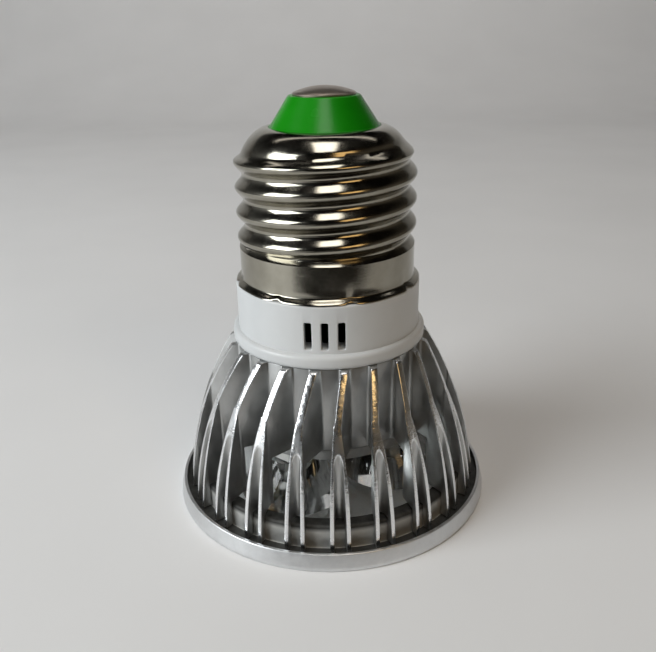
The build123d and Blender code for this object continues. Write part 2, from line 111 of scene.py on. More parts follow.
# LEDs and the board behind them
DOME_RADIUS = 2.6
DOME_RIM = 0.7
DOME_STEPS = 12
DOME_SEGMENTS = 64
BOARD_HOLE = 2.6
BOARD_EDGE_ROUND = 0.08
SCREW_HOLE_RADIUS = 1.1
SCREW_HOLE_CIRCLE = 11.6
SCREW_HOLE_AZIMUTHS = (22.0, 142.0)
DRILL_SEGMENTS = 32

# Heat sink; the bell's outside is an arc about a point beyond the axis
FIN_EDGE = 0.11
BELL_ARC = 52.19
BELL_SETBACK = 28.88
BELL_DROP = 1.58

# Collar; heights of the neck and the bore's step are counted from the collar's top
LIP_HEIGHT = 2.1
LIP_ROUND = 0.75
LIP_FOOT_ROUND = 0.15
COLLAR_RADIUS = 13.85
COLLAR_TOP_ROUND = 0.35
COLLAR_BORE = 11.0
BORE_STEP_TOP = -1.1
BORE_STEP_FOOT = -1.7
SPIGOT_RADIUS = 12.3
NECK_OUTSIDE = 12.6
NECK_STRAIGHT = 3.0
NECK_TAPER_END = 4.2
NECK_END_RADIUS = 11.5
NECK_INSIDE = 10.4
VENT_WIDTH = 1.06
VENT_HEIGHT = 4.05
VENT_PITCH = 2.35
VENT_FOOT = 2.7
VENT_AZIMUTH = -2.5
VENT_CORNER = 0.25
VENT_CORNER_STEPS = 4
VENT_EDGE = 0.09
VENT_SHARP_ANGLE = 50.0

# Screw shell
THREAD_PITCH = 3.62
THREAD_ROOT = 12.1
THREAD_DEPTH = 1.1
THREAD_START = 50.215
THREAD_STEP = 0.2
THREAD_FADE = (53.2, 55.4)
SHELL_WALL = 0.3
SHELL_SMOOTH_ANGLE = 40.0
SKIRT_RADIUS = 13.0
SKIRT_HEIGHT = 5.3
SKIRT_ROWS = (2.0, 3.2, SKIRT_HEIGHT - 0.25, SKIRT_HEIGHT - 0.04, SKIRT_HEIGHT)
SKIRT_RUN_IN = 1.1
FLARE = 0.85
FLARE_HEIGHT = 0.8
FLARE_STEPS = 8
SHELL_MOUTH = 8.0
SHOULDER_START = 54.0
SHOULDER_FULLNESS = 1.2
SHOULDER_STEPS = 16
CREASE_HEIGHT = 54.75
CREASE_DEPTH = 0.32
CREASE_WIDTH = 0.38
CREASE_START = (-180.0, -110.0)
CREASE_END = (30.0, 110.0)
STAKE_COUNT = 8
STAKE_AZIMUTH = 13.0
STAKE_WIDTH = 2.6
STAKE_DEPTH = 0.4
STAKE_LIFT = 0.25
STAKE_HEIGHT = 1.28
RIM_WAVE = 0.07
RIM_WAVE_COUNT = 11

# Insulator and centre contact
INSULATOR_FOOT = 7.8
INSULATOR_FOOT_ROUND = 0.08
INSULATOR_END = 5.05
INSULATOR_END_ROUND = 0.28
INSULATOR_FLANGE = 1.6
THROAT_HEIGHT = 0.5
INSULATOR_FIT = 0.05
CONTACT_RADIUS = 4.45
CONTACT_CROWN = 0.9
CONTACT_SHOULDER = 0.12
CONTACT_EDGE = 0.05
CONTACT_STEPS = 12
STEM_RADIUS = 1.2

# Where finishes and the ring's painted shade change: ring by radius and height, fins by depth below the
# turned bell
NECK_MASK = (NECK_RADIUS + 0.05, NECK_RADIUS + 0.15)
NECK_PAINTED_SHADE = (4.2, 4.9)
CHANNEL_BLEND = 0.1
TURNED_SKIN = (0.06, 0.18)

# Noise between these two values runs from one end of a finish's range to the other
NOISE_LOW = 0.3
NOISE_HIGH = 0.7

# Stage and light, in metres
FLOOR_SIZE = 2.4
FLOOR_SHIFT = -0.75
COVE_RADIUS = 0.25
COVE_STEPS = 16
WALL_HEIGHT = 0.2
WALL_SMOOTH_ANGLE = 60.0
CARD_LEFT = -0.085
CARD_RIGHT = 0.30
CARD_EDGE = -0.085
CARD_DEPTH = 0.40
CARD_HEIGHT = 0.001
BULB_MIDDLE = Vector((0, 0, 0.03))
BACKDROP_LIGHT = Vector((0, 0.30, 0.60))
BACKDROP_AIM = Vector((0, 0.70, 0.20))


# Modelling by hand: selection, edit mode, turning, softening

def clear_selection():
    if bpy.context.object and bpy.context.object.mode != "OBJECT":
        bpy.ops.object.mode_set(mode="OBJECT")
    bpy.ops.object.select_all(action="DESELECT")


def pick(piece):
    clear_selection()
    piece.select_set(True)
    bpy.context.view_layer.objects.active = piece


def edit(piece):
    pick(piece)
    bpy.ops.object.mode_set(mode="EDIT")
    bpy.ops.mesh.select_all(action="SELECT")


def apply_modifier(piece, kind, **values):
    pick(piece)
    modifier = piece.modifiers.new(kind.lower(), kind)
    for name, value in values.items():
        setattr(modifier, name, value)
    bpy.ops.object.modifier_apply(modifier=modifier.name)


def smooth(piece, angle=SMOOTH_ANGLE):
    pick(piece)
    bpy.ops.object.shade_smooth_by_angle(angle=radians(angle))


def soften(piece, width, segments, angle=SHARP_ANGLE):
    """Rounds every edge that is sharper than an angle, then shades the piece smooth."""
    apply_modifier(
        piece, "BEVEL", width=width * MM, segments=segments, limit_method="ANGLE",
        angle_limit=radians(angle), use_clamp_overlap=False, miter_outer="MITER_ARC",
    )
    smooth(piece)


def combine(piece, other, operation):
    apply_modifier(piece, "BOOLEAN", object=other, operation=operation, solver="EXACT")
    bpy.data.objects.remove(other)


def turned_piece(name, section, closed=True, segments=SEGMENTS):
    """Turns a half section of (radius, height) points about the lamp's axis.

    A closed section's last point is joined to its first. An open one gives a sheet.
    """
    clear_selection()
    bpy.ops.mesh.primitive_circle_add(vertices=len(section))
    piece = bpy.context.object
    piece.name = name
    for vertex, (radius, height) in zip(piece.data.vertices, section):
        vertex.co = Vector((0, -radius, height)) * MM
    if not closed:
        last = len(section) - 1
        for edge in piece.data.edges:
            edge.select = set(edge.vertices) == {0, last}
        bpy.ops.object.mode_set(mode="EDIT")
        bpy.ops.mesh.select_mode(type="EDGE")
        bpy.ops.mesh.delete(type="EDGE")
    edit(piece)
    bpy.ops.mesh.spin(steps=segments, angle=2 * pi, center=(0, 0, 0), axis=(0, 0, 1))
    bpy.ops.mesh.select_all(action="SELECT")
    bpy.ops.mesh.remove_doubles(threshold=MERGE * MM)
    bpy.ops.mesh.normals_make_consistent(inside=False)
    bpy.ops.object.mode_set(mode="OBJECT")
    return piece


def clear_flaps(piece):
    """Deletes the slivers and the flaps, faces with a free edge, that rounding leaves on a closed piece."""
    apply_modifier(piece, "TRIANGULATE", ngon_method="BEAUTY")
    edit(piece)
    bpy.ops.mesh.dissolve_degenerate(threshold=MERGE * MM)
    bpy.ops.object.mode_set(mode="OBJECT")
    apply_modifier(piece, "TRIANGULATE", ngon_method="BEAUTY")
    uses = Counter(key for face in piece.data.polygons for key in face.edge_keys)
    edit(piece)
    bpy.ops.mesh.select_mode(type="FACE")
    bpy.ops.mesh.select_all(action="DESELECT")
    bpy.ops.object.mode_set(mode="OBJECT")
    for face in piece.data.polygons:
        face.select = any(uses[key] == 1 for key in face.edge_keys)
    bpy.ops.object.mode_set(mode="EDIT")
    bpy.ops.mesh.delete(type="FACE")
    bpy.ops.object.mode_set(mode="OBJECT")


def softened_copy(node, name, width):
    """A CAD node's shape with its points merged, its flat faces joined and its edges rounded."""
    source = nodes[node]
    piece = source.copy()
    piece.data = source.data.copy()
    for key in list(piece.keys()):
        del piece[key]
    scene.collection.objects.link(piece)
    piece.parent = None
    piece.name = name
    edit(piece)
    bpy.ops.mesh.customdata_custom_splitnormals_clear()
    bpy.ops.mesh.remove_doubles(threshold=MERGE * MM)
    bpy.ops.mesh.dissolve_limited(angle_limit=radians(FLAT_ANGLE))
    bpy.ops.object.mode_set(mode="OBJECT")
    soften(piece, width, segments=2)
    clear_flaps(piece)
    smooth(piece)
    return piece


def rounded(corner, before, after, radius, count=6):
    """Points of a rounded corner between the directions to its two neighbours."""
    middle = Vector(corner)
    inward = (Vector(before) - middle).normalized() * radius
    onward = (Vector(after) - middle).normalized() * radius
    points = []
    for i in range(count + 1):
        t = i / count
        points.append(tuple(middle + inward * (1 - t) ** 2 + onward * t ** 2))
    return points


def span(node):
    """A CAD node's lowest and highest height and its largest radius."""
    low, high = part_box(node)
    return low.z / MM, high.z / MM, max(high.x, -low.x, high.y, -low.y) / MM


def smoothstep(low, high, value):
    t = min(max((value - low) / (high - low), 0.0), 1.0)
    return t * t * (3 - 2 * t)


def around(radius, azimuth, height=0.0):
    """Point at a radius and an azimuth counted from the front, in metres."""
    a = radians(azimuth)
    return Vector((radius * sin(a), -radius * cos(a), height)) * MM


def stands_for(piece, node, finish):
    piece.data.materials.clear()
    piece.data.materials.append(finish)
    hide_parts(node)
    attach(piece, nodes[node]["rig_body"])


# Finishes: nodes on object coordinates

def new_finish(name, **sockets):
    """A material, its node tree and its shader, with the shader's plain sockets set."""
    finish = bpy.data.materials.new(name)
    finish.use_nodes = True
    shader = finish.node_tree.nodes["Principled BSDF"]
    for key, value in sockets.items():
        shader.inputs[key.replace("_", " ").title().replace("Ior", "IOR")].default_value = value
    return finish, finish.node_tree, shader


def add(tree, kind, inputs=None, **settings):
    made = tree.nodes.new(kind)
    for key, value in settings.items():
        setattr(made, key, value)
    for key, value in (inputs or {}).items():
        if isinstance(value, bpy.types.NodeSocket):
            tree.links.new(value, made.inputs[key])
        else:
            made.inputs[key].default_value = value
    return made


def reckon(tree, operation, *values):
    return add(tree, "ShaderNodeMath", dict(enumerate(values)), operation=operation).outputs[0]


def coordinates(tree, scale=(1, 1, 1)):
    """Object coordinates in millimetres, stretched by a scale."""
    source = add(tree, "ShaderNodeTexCoord").outputs["Object"]
    stretch = tuple(value / MM for value in scale)
    return add(tree, "ShaderNodeMapping", {"Vector": source, "Scale": stretch}).outputs["Vector"]


def grain(tree, scale, detail, rough=0.5):
    """Noise with its own count of grains per millimetre along each axis."""
    inputs = {"Vector": coordinates(tree, scale), "Scale": 1.0, "Detail": detail, "Roughness": rough}
    return add(tree, "ShaderNodeTexNoise", inputs).outputs[0]


def between(tree, value, low, high, start=NOISE_LOW, stop=NOISE_HIGH):
    inputs = {"Value": value, "From Min": start, "From Max": stop, "To Min": low, "To Max": high}
    return add(tree, "ShaderNodeMapRange", inputs).outputs[0]


def blend_colours(tree, value, first, second):
    ramp = add(tree, "ShaderNodeValToRGB", {"Fac": value})
    ramp.color_ramp.elements[0].position = NOISE_LOW
    ramp.color_ramp.elements[0].color = (*first, 1)
    ramp.color_ramp.elements[1].position = NOISE_HIGH
    ramp.color_ramp.elements[1].color = (*second, 1)
    return ramp.outputs["Color"]


def relief(tree, height, depth, strength, under=None):
    """Bump of a depth in millimetres, over another bump where one is given."""
    inputs = {"Height": height, "Distance": depth * MM, "Strength": strength}
    if under:
        inputs["Normal"] = under
    return add(tree, "ShaderNodeBump", inputs).outputs["Normal"]


def join(tree, shader, **sockets):
    for key, value in sockets.items():
        tree.links.new(value, shader.inputs[key.replace("_", " ").title()])


def mix_colours(tree, factor, first, second):
    mixed = add(tree, "ShaderNodeMix", {0: factor, 6: first, 7: second}, data_type="RGBA")
    return mixed.outputs[2]


def mix_values(tree, factor, first, second):
    return add(tree, "ShaderNodeMix", {0: factor, 2: first, 3: second}).outputs[0]


def radius_and_height(tree):
    """Distance from the lamp's axis and height above the ring's front, in millimetres."""
    parts = add(tree, "ShaderNodeSeparateXYZ", {"Vector": coordinates(tree)})
    flat = add(tree, "ShaderNodeCombineXYZ", {"X": parts.outputs["X"], "Y": parts.outputs["Y"]})
    radius = add(tree, "ShaderNodeVectorMath", {0: flat.outputs[0]}, operation="LENGTH")
    return radius.outputs["Value"], parts.outputs["Z"]


def nickel(name, dark, light, bright, dull):
    """Bright plate with rolling marks round the axis and a few dull patches."""
    finish, tree, shader = new_finish(name, metallic=1.0)
    rolled = grain(tree, (0.25, 0.25, 14.0), detail=3)
    patches = grain(tree, (0.35, 0.35, 0.35), detail=4, rough=0.6)
    scratches = grain(tree, (0.9, 0.9, 22.0), detail=1)
    join(
        tree, shader,
        base_color=blend_colours(tree, patches, dark, light),
        roughness=between(tree, patches, bright, dull),
        normal=relief(tree, scratches, 0.004, 0.5, under=relief(tree, rolled, 0.006, 0.6)),
    )
    return finish


def screw_steel():
    """Steel with fine turning lines round the axis."""
    finish, tree, shader = new_finish("screw_steel", metallic=1.0)
    turning = grain(tree, (0.12, 0.12, 6.0), detail=2)
    mottle = grain(tree, (0.8, 0.8, 0.8), detail=5, rough=0.65)
    join(
        tree, shader,
        base_color=blend_colours(tree, mottle, (0.42, 0.42, 0.41), (0.52, 0.52, 0.51)),
        roughness=between(tree, mottle, 0.28, 0.4),
        normal=relief(tree, turning, 0.01, 0.5, under=relief(tree, mottle, 0.01, 0.3)),
    )
    return finish


def satin_ring():
    """Satin turned rim, a neck that is dull below with painted shade above, and painted shade in the
    channel between them.
    """
    finish, tree, shader = new_finish("satin_aluminium", metallic=1.0)
    radius, height = radius_and_height(tree)
    channel_edge = span("bezel_ring")[2] - RIM_WALL + RIM_ROUND
    neck = between(tree, radius, 1.0, 0.0, *NECK_MASK)
    # Masks where shade is painted: the neck's top by height, the channel by radius
    neck_top = between(tree, height, 0.0, 1.0, *NECK_PAINTED_SHADE)
    channel = between(tree, radius, 1.0, 0.0, channel_edge - CHANNEL_BLEND, channel_edge)
    turning = grain(tree, (0.12, 0.12, 9.0), detail=2)
    mottle = grain(tree, (0.8, 0.8, 0.8), detail=5, rough=0.65)
    rim = blend_colours(tree, mottle, (0.66, 0.67, 0.68), (0.74, 0.75, 0.76))
    dull = blend_colours(tree, mottle, (0.58, 0.58, 0.56), (0.68, 0.68, 0.66))
    # Painted shade: near-black colour for the neck's top and the channel, where shade falls
    painted_shade = blend_colours(tree, mottle, (0.05, 0.05, 0.048), (0.12, 0.12, 0.115))
    outside = mix_colours(tree, channel, rim, painted_shade)
    thread = mix_colours(tree, neck_top, dull, painted_shade)
    satin_gloss = between(tree, mottle, 0.32, 0.42)
    matte_gloss = between(tree, mottle, 0.6, 0.75)
    join(
        tree, shader,
        base_color=mix_colours(tree, neck, outside, thread),
        roughness=mix_values(tree, channel, satin_gloss, matte_gloss),
        normal=relief(tree, turning, 0.01, 0.5, under=relief(tree, mottle, 0.01, 0.3)),
    )
    return finish


def extruded_aluminium():
    """Dull extrusion with streaks along the fins, bright and chatter-marked on the turned outside."""
    finish, tree, shader = new_finish("bright_aluminium", metallic=1.0)
    radius, height = radius_and_height(tree)
    rise = reckon(tree, "ADD", height, BELL_DROP)
    rise_squared = reckon(tree, "MULTIPLY", rise, rise)
    reach = reckon(tree, "SQRT", reckon(tree, "SUBTRACT", BELL_ARC ** 2, rise_squared))
    depth = reckon(tree, "SUBTRACT", reckon(tree, "SUBTRACT", reach, BELL_SETBACK), radius)
    turned = between(tree, depth, 1.0, 0.0, *TURNED_SKIN)
    streaks = grain(tree, (3.0, 3.0, 0.09), detail=3)
    mottle = grain(tree, (0.5, 0.5, 0.35), detail=4)
    chatter = grain(tree, (1.2, 1.2, 2.6), detail=2, rough=0.6)
    tool_marks = reckon(tree, "MULTIPLY", chatter, turned)
    skin = blend_colours(tree, mottle, (0.46, 0.465, 0.46), (0.58, 0.585, 0.58))
    cut = blend_colours(tree, mottle, (0.82, 0.83, 0.84), (0.90, 0.91, 0.92))
    skin_gloss = between(tree, mottle, 0.30, 0.42)
    cut_gloss = between(tree, mottle, 0.20, 0.32)
    join(
        tree, shader,
        base_color=mix_colours(tree, turned, skin, cut),
        roughness=mix_values(tree, turned, skin_gloss, cut_gloss),
        normal=relief(tree, tool_marks, 0.05, 0.7, under=relief(tree, streaks, 0.012, 0.6)),
    )
    return finish


def moulded(name, dark, light, bright=0.3, dull=0.42, **sockets):
    """Moulded plastic: slight colour drift, uneven gloss and a fine skin."""
    finish, tree, shader = new_finish(name, **sockets)
    drift = grain(tree, (0.15, 0.15, 0.15), detail=3)
    skin = grain(tree, (6.0, 6.0, 6.0), detail=2)
    join(
        tree, shader,
        base_color=blend_colours(tree, drift, dark, light),
        roughness=between(tree, drift, bright, dull),
        normal=relief(tree, skin, 0.006, 0.5),
    )
    return finish


def clear_acrylic():
    """Clear moulding with faint flow marks."""
    finish, tree, shader = new_finish(
        "clear_acrylic", transmission_weight=1.0, ior=1.49, base_color=(0.93, 0.945, 0.94, 1),
    )
    flow = grain(tree, (0.25, 0.25, 0.6), detail=3)
    join(tree, shader, roughness=between(tree, flow, 0.015, 0.05), normal=relief(tree, flow, 0.02, 0.4))
    return finish


def board_laminate():
    """Board with a white front; its aluminium core shows grey at the edge and behind."""
    finish, tree, shader = new_finish("board_white", roughness=0.4)
    facing = add(tree, "ShaderNodeTexCoord").outputs["Normal"]
    parts = add(tree, "ShaderNodeSeparateXYZ", {"Vector": facing})
    front = between(tree, parts.outputs["Z"], 1.0, 0.0, -0.8, -0.4)
    mottle = grain(tree, (0.6, 0.6, 0.6), detail=3)
    core = blend_colours(tree, mottle, (0.24, 0.24, 0.235), (0.32, 0.32, 0.31))
    mask = blend_colours(tree, mottle, (0.70, 0.70, 0.68), (0.80, 0.80, 0.78))
    join(tree, shader, base_color=mix_colours(tree, front, core, mask))
    return finish


def led_silicone():
    """Clear dome tinted by the yellow chip below it."""
    finish, tree, shader = new_finish("led_silicone", transmission_weight=0.25, ior=1.41)
    mottle = grain(tree, (1.5, 1.5, 1.5), detail=3)
    join(
        tree, shader,
        base_color=blend_colours(tree, mottle, (0.80, 0.52, 0.06), (0.92, 0.68, 0.16)),
        roughness=between(tree, mottle, 0.06, 0.14),
    )
    return finish


# Pieces

CONE_PLACES = [around(CONE_CIRCLE, CONE_AZIMUTH + 360 * i / CONE_COUNT) for i in range(CONE_COUNT)]
SHELL_FOOT, SHELL_TOP, _ = span("screw_shell")
SKIRT_TOP = SHELL_FOOT + SKIRT_HEIGHT


def front_ring():
    low, top, rim = span("bezel_ring")
    inside = rim - RIM_WALL
    shoulder = (rim - RIM_TAPER, RIM_HEIGHT)
    section = [
        (APERTURE + FRONT_CHAMFER, low),
        *rounded((rim, low), (APERTURE, low), (rim, RIM_HEIGHT), FRONT_CHAMFER),
        *rounded((rim, RIM_LAND), (rim, low), shoulder, RIM_ROUND),
        *rounded(shoulder, (rim, RIM_LAND), (inside, RIM_HEIGHT), RIM_ROUND),
        *rounded((inside, RIM_HEIGHT), (rim, RIM_HEIGHT), (inside, low), RIM_ROUND),
        (inside, CHANNEL_FLOOR),
        (NECK_RADIUS, CHANNEL_FLOOR),
        *rounded((NECK_RADIUS, top), (NECK_RADIUS, low), (NECK_BORE, top), NECK_ROUND),
        (NECK_BORE, top),
        (NECK_BORE, LENS_SEAT),
        (APERTURE, LENS_SEAT),
        (APERTURE, FRONT_CHAMFER),
    ]
    ring = turned_piece("front_ring", section, segments=RING_SEGMENTS)
    smooth(ring)
    return ring


def lens_cone(foot, seat, end):
    """Collimator cone on its own axis, with bulging flank and the recess for its LED."""
    run = Vector((CONE_END_RADIUS - CONE_RADIUS, end - seat))
    outward = Vector((run.y, -run.x)).normalized() * CONE_BULGE
    flank = []
    for i in range(FLANK_STEPS + 1):
        t = i / FLANK_STEPS
        flank.append(tuple(Vector((CONE_RADIUS, seat)) + t * run + 4 * t * (1 - t) * outward))
    hole_top = end - CONE_HOLE_DEPTH
    crown = []
    for i in range(CROWN_STEPS + 1):
        a = pi / 2 * i / CROWN_STEPS
        crown.append((CONE_HOLE_RADIUS * cos(a), hole_top + CONE_HOLE_CROWN * sin(a)))
    section = [(0, foot), (CONE_RADIUS, foot), *flank, (CONE_HOLE_RADIUS, end), *crown]
    return turned_piece("lens_cone", section)


def lens():
    low, end, edge = span("lens_plate")
    top = low + LENS_THICK
    plate = turned_piece("clear_lens", [
        (0, low),
        *rounded((edge, low), (0, low), (edge, top), LENS_EDGE_ROUND, 3),
        *rounded((edge, top), (edge, low), (0, top), LENS_EDGE_ROUND, 3),
        (0, top),
    ])
    for place in CONE_PLACES:
        cone = lens_cone(low + LENS_THICK / 2, top, end)
        cone.data.transform(Matrix.Translation(place))
        combine(plate, cone, "UNION")
    smooth(plate, LENS_SMOOTH_ANGLE)
    return plate


def led_domes():
    apex, seat, _ = span("led_domes")
    rim = seat - DOME_RIM
    bowl = []
    for i in range(DOME_STEPS + 1):
        a = pi / 2 * i / DOME_STEPS
        bowl.append((DOME_RADIUS * cos(a), rim + (apex - rim) * sin(a)))
    section = [(0, seat), (DOME_RADIUS, seat), *bowl]
    domes = []
    for place in CONE_PLACES:
        dome = turned_piece("dome_lenses", section, segments=DOME_SEGMENTS)
        dome.data.transform(Matrix.Translation(place))
        domes.append(dome)
    pick(domes[0])
    for dome in domes:
        dome.select_set(True)
    bpy.ops.object.join()
    smooth(domes[0])
    return domes[0]


def drilled_disc(node, name):
    """Round board or pad with its lead hole and its screw holes."""
    low, top, edge = span(node)
    disc = turned_piece(name, [
        (BOARD_HOLE, low),
        *rounded((edge, low), (0, low), (edge, top), BOARD_EDGE_ROUND, 2),
        *rounded((edge, top), (edge, low), (0, top), BOARD_EDGE_ROUND, 2),
        (BOARD_HOLE, top),
    ])
    for azimuth in SCREW_HOLE_AZIMUTHS:
        clear_selection()
        bpy.ops.mesh.primitive_cylinder_add(
            vertices=DRILL_SEGMENTS, radius=SCREW_HOLE_RADIUS * MM, depth=2 * (top - low) * MM,
            location=around(SCREW_HOLE_CIRCLE, azimuth, (low + top) / 2),
        )
        drill = bpy.context.object
        bpy.ops.object.transform_apply(location=True, rotation=False, scale=False)
        combine(disc, drill, "DIFFERENCE")
    smooth(disc)
    return disc


def shell_radius(height, azimuth):
    """Outside of the rolled shell: flare, skirt, round thread with its run-outs, creased shoulder."""
    if height <= SKIRT_TOP:
        return SKIRT_RADIUS + FLARE * (1 - smoothstep(SHELL_FOOT, SHELL_FOOT + FLARE_HEIGHT, height))
    root = THREAD_ROOT
    if height > SHOULDER_START:
        rise = (height - SHOULDER_START) / (SHELL_TOP - SHOULDER_START)
        root += (SHELL_MOUTH - THREAD_ROOT) * (1 - sqrt(max(1 - rise ** SHOULDER_FULLNESS, 0.0)))
    turns = (height - THREAD_START) / THREAD_PITCH - azimuth / 360
    fade = 1 - smoothstep(*THREAD_FADE, height)
    thread = root + THREAD_DEPTH * fade * (0.5 + 0.5 * cos(2 * pi * turns))
    off = (height - CREASE_HEIGHT - THREAD_PITCH * azimuth / 360) / CREASE_WIDTH
    ends = smoothstep(*CREASE_START, azimuth) * (1 - smoothstep(*CREASE_END, azimuth))
    crease = CREASE_DEPTH * exp(-off * off) * ends
    return max(thread - crease, SKIRT_RADIUS - SKIRT_RUN_IN * (height - SKIRT_TOP))


def stake(azimuth):
    """How near a place on the rim is to a staking mark: 1 on it, 0 away from it."""
    pitch = 360 / STAKE_COUNT
    off = (azimuth - STAKE_AZIMUTH + pitch / 2) % pitch - pitch / 2
    return exp(-(off / STAKE_WIDTH) ** 2)


def shell_rows():
    """Heights of the shell's rows of points: close at the flare, the thread and the shoulder."""
    rows = [SHELL_FOOT + FLARE_HEIGHT * i / FLARE_STEPS for i in range(FLARE_STEPS + 1)]
    rows += [SHELL_FOOT + row for row in SKIRT_ROWS]
    thread = SHOULDER_START - SKIRT_TOP
    count = int(thread / THREAD_STEP)
    rows += [SKIRT_TOP + thread * (i + 1) / count for i in range(count)]
    shoulder = SHELL_TOP - SHOULDER_START
    rows += [
        SHOULDER_START + shoulder * sin(pi / 2 * (i + 1) / SHOULDER_STEPS) for i in range(SHOULDER_STEPS)
    ]
    return rows


def screw_shell():
    shell = turned_piece("rolled_shell", [(SKIRT_RADIUS, row) for row in shell_rows()], closed=False)
    for vertex in shell.data.vertices:
        azimuth = degrees(atan2(vertex.co.x, -vertex.co.y))
        height = vertex.co.z / MM
        near_rim = 1 - smoothstep(SHELL_FOOT, SHELL_FOOT + STAKE_HEIGHT, height)
        mark = stake(azimuth) * near_rim
        wave = RIM_WAVE * near_rim * (0.5 + 0.5 * sin(radians(RIM_WAVE_COUNT * azimuth)))
        radius = shell_radius(height, azimuth) - STAKE_DEPTH * mark - wave
        height += STAKE_LIFT * mark + wave
        scale = radius * MM / hypot(vertex.co.x, vertex.co.y)
        vertex.co = Vector((vertex.co.x * scale, vertex.co.y * scale, height * MM))
    apply_modifier(shell, "SOLIDIFY", thickness=SHELL_WALL * MM, offset=-1.0, use_even_offset=True)
    smooth(shell, SHELL_SMOOTH_ANGLE)
    return shell


def vent_cutter(x, azimuth, middle):
    """Upright slot with rounded corners, as long as it needs to be to pass the collar's wall."""
    clear_selection()
    bpy.ops.mesh.primitive_cube_add(size=1.0)
    cutter = bpy.context.object
    cutter.scale = Vector((VENT_WIDTH, COLLAR_RADIUS, VENT_HEIGHT)) * MM
    cutter.location = Vector((x, -COLLAR_RADIUS, middle)) * MM
    bpy.ops.object.transform_apply(location=True, rotation=False, scale=True)
    edit(cutter)
    bpy.ops.mesh.select_all(action="DESELECT")
    bpy.ops.object.mode_set(mode="OBJECT")
    for edge in cutter.data.edges:
        ends = [cutter.data.vertices[index].co for index in edge.vertices]
        edge.select = abs(ends[0].y - ends[1].y) > MM
    bpy.ops.object.mode_set(mode="EDIT")
    bpy.ops.mesh.select_mode(type="EDGE")
    bpy.ops.mesh.bevel(offset=VENT_CORNER * MM, segments=VENT_CORNER_STEPS, affect="EDGES")
    bpy.ops.object.mode_set(mode="OBJECT")
    cutter.data.transform(Matrix.Rotation(radians(azimuth), 4, "Z"))
    return cutter


def collar():
    foot, neck_top, lip = span("collar")
    seat = span("heat_sink")[1]
    top = SHELL_FOOT
    lip_top = seat + LIP_HEIGHT
    section = [
        (COLLAR_BORE, foot),
        (SPIGOT_RADIUS, foot),
        (SPIGOT_RADIUS, seat),
        *rounded((lip, seat), (COLLAR_BORE, seat), (lip, lip_top), LIP_ROUND),
        *rounded((lip, lip_top), (lip, seat), (COLLAR_RADIUS, lip_top), LIP_ROUND),
        *rounded((COLLAR_RADIUS, lip_top), (lip, lip_top), (COLLAR_RADIUS, top), LIP_FOOT_ROUND, 3),
        *rounded((COLLAR_RADIUS, top), (COLLAR_RADIUS, foot), (COLLAR_BORE, top), COLLAR_TOP_ROUND),
        (NECK_OUTSIDE, top),
        (NECK_OUTSIDE, top + NECK_STRAIGHT),
        (NECK_END_RADIUS, top + NECK_TAPER_END),
        (NECK_END_RADIUS, neck_top),
        (NECK_INSIDE, neck_top),
        (NECK_INSIDE, top + BORE_STEP_TOP),
        (COLLAR_BORE, top + BORE_STEP_FOOT),
    ]
    body = turned_piece("collar_moulding", section)
    middle = seat + VENT_FOOT + VENT_HEIGHT / 2
    for azimuth in (VENT_AZIMUTH, VENT_AZIMUTH + 180):
        for i in (-1, 0, 1):
            combine(body, vent_cutter(i * VENT_PITCH, azimuth, middle), "DIFFERENCE")
    soften(body, VENT_EDGE, segments=3, angle=VENT_SHARP_ANGLE)
    return body


def insulator():
    low, top, flange = span("base_insulator")
    seat = SHELL_TOP
    throat = SHELL_MOUTH - INSULATOR_FIT
    bore = STEM_RADIUS + INSULATOR_FIT
    section = [
        (bore, low),
        (flange, low),
        (flange, low + INSULATOR_FLANGE),
        (throat, seat - THROAT_HEIGHT),
        (throat, seat),
        *rounded((INSULATOR_FOOT, seat), (throat, seat), (INSULATOR_END, top), INSULATOR_FOOT_ROUND, 3),
        *rounded((INSULATOR_END, top), (INSULATOR_FOOT, seat), (0, top), INSULATOR_END_ROUND),
        (bore, top),
    ]
    cone = turned_piece("insulator_cone", section)
    smooth(cone)
    return cone


def centre_contact():
    foot, apex, _ = span("centre_contact")
    seat = span("base_insulator")[1]
    rim = apex - CONTACT_CROWN
    ball = (CONTACT_RADIUS ** 2 + CONTACT_CROWN ** 2) / (2 * CONTACT_CROWN)
    crown = []
    for i in range(CONTACT_STEPS + 1):
        radius = (CONTACT_RADIUS - CONTACT_SHOULDER) * i / CONTACT_STEPS
        crown.append((radius, apex - ball + sqrt(ball * ball - radius * radius)))
    section = [
        (0, foot),
        *crown,
        (CONTACT_RADIUS, rim - CONTACT_SHOULDER / 2),
        (CONTACT_RADIUS, seat + CONTACT_EDGE),
        (CONTACT_RADIUS - CONTACT_EDGE, seat),
        (STEM_RADIUS, seat),
        (STEM_RADIUS, foot),
    ]
    contact = turned_piece("contact_dome", section)
    smooth(contact)
    return contact


satin = satin_ring()
acrylic = clear_acrylic()
silicone = led_silicone()
laminate = board_laminate()
pad_grey = moulded("pad_grey", (0.16, 0.17, 0.18), (0.22, 0.23, 0.24), bright=0.65, dull=0.8)
aluminium = extruded_aluminium()
white = moulded("white_plastic", (0.57, 0.585, 0.59), (0.61, 0.625, 0.63))
nickel_shell = nickel("nickel_plate", (0.31, 0.29, 0.24), (0.38, 0.36, 0.305), bright=0.10, dull=0.20)
green = moulded(
    "green_plastic", (0.005, 0.200, 0.003), (0.009, 0.245, 0.005), bright=0.22, dull=0.30,
    specular_ior_level=0.3,
)
nickel_contact = nickel(
    "contact_nickel", (0.36, 0.30, 0.255), (0.46, 0.395, 0.34), bright=0.26, dull=0.36,
)

